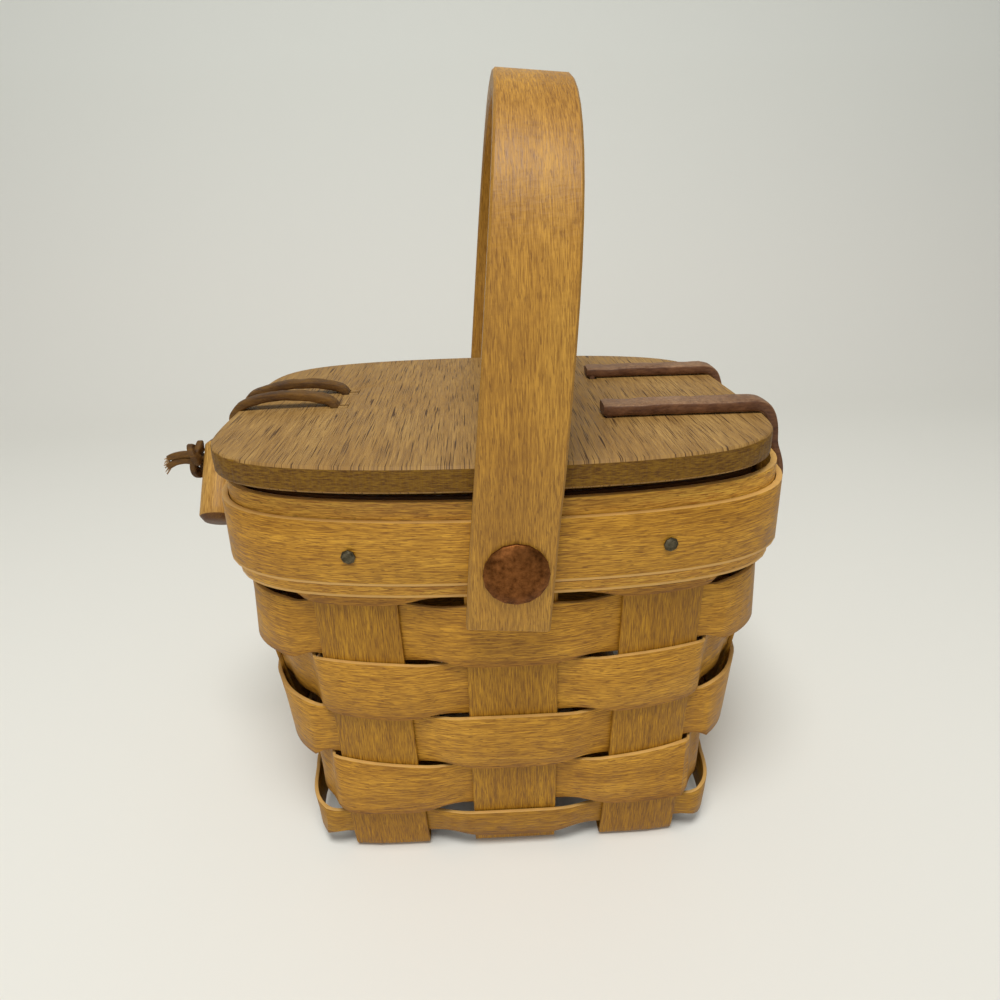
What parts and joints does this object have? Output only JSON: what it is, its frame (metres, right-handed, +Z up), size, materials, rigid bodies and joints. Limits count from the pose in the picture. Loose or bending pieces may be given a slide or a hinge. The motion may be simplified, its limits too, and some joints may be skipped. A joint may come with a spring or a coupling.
{
  "type": "basket purse",
  "caption": "Small woven splint basket purse with banded rim, hardwood lid on leather straps, riveted swing handle and loop-and-toggle closure.",
  "frame": {"origin": "on the ground, under the middle of the basket's base, on the underside of the middle stake", "axes": "+Z up; +X towards the hinge end of the lid, -X towards the toggle; -Y towards the front, whose rivet and nails show in the picture"},
  "size_m": [0.2078, 0.15, 0.2365],
  "materials": {
    "weaver_wood": "satin stained splint",
    "stake_wood": "satin stained splint",
    "handle_wood": "satin varnish",
    "lid_wood": "matte stain",
    "toggle_wood": "satin",
    "leather": "worn matte",
    "copper": "patinated copper",
    "steel": "dull"
  },
  "bodies": {
    "basket": {"stake_front_left": "stake_wood", "stake_front_centre": "stake_wood", "stake_front_right": "stake_wood", "stake_side_front": "stake_wood", "stake_side_back": "stake_wood", "weaver_row_0": "weaver_wood", "weaver_row_1": "weaver_wood", "weaver_row_2": "weaver_wood", "weaver_row_3": "weaver_wood", "weaver_row_4": "weaver_wood", "weaver_row_5": "weaver_wood", "rim_inner_band": "weaver_wood", "rim_outer_band": "weaver_wood", "rim_trim_band": "weaver_wood", "nail_front_left": "steel", "nail_front_right": "steel", "nail_back_left": "steel", "nail_back_right": "steel", "nail_strap_front": "steel", "nail_strap_back": "steel", "rivet_front": "copper", "rivet_back": "copper", "burr_front": "copper", "burr_back": "copper", "hinge_strap_front": "leather", "hinge_strap_back": "leather", "toggle_thong": "leather"},
    "handle": {"handle": "handle_wood"},
    "lid": {"lid": "lid_wood", "closure_loop": "leather"},
    "toggle": {"toggle": "toggle_wood"}
  },
  "joints": [
    {"name": "handle_swing", "type": "hinge", "parent": "basket", "child": "handle", "pos_m": [0.001, 0, 0.1123], "axis": [0, 1, 0], "range_deg": [-94.55, 85.45]},
    {"name": "lid_hinge", "type": "hinge", "parent": "basket", "child": "lid", "pos_m": [0.0883, 0, 0.13357], "axis": [0, 1, 0], "range_deg": [0, 24], "deforming": ["hinge_strap_front", "hinge_strap_back", "closure_loop"]},
    {"name": "toggle_swivel", "type": "hinge", "parent": "basket", "child": "toggle", "pos_m": [-0.0969, 0.0005, 0.1218], "axis": [1, 0, 0], "continuous": true}
  ]
}
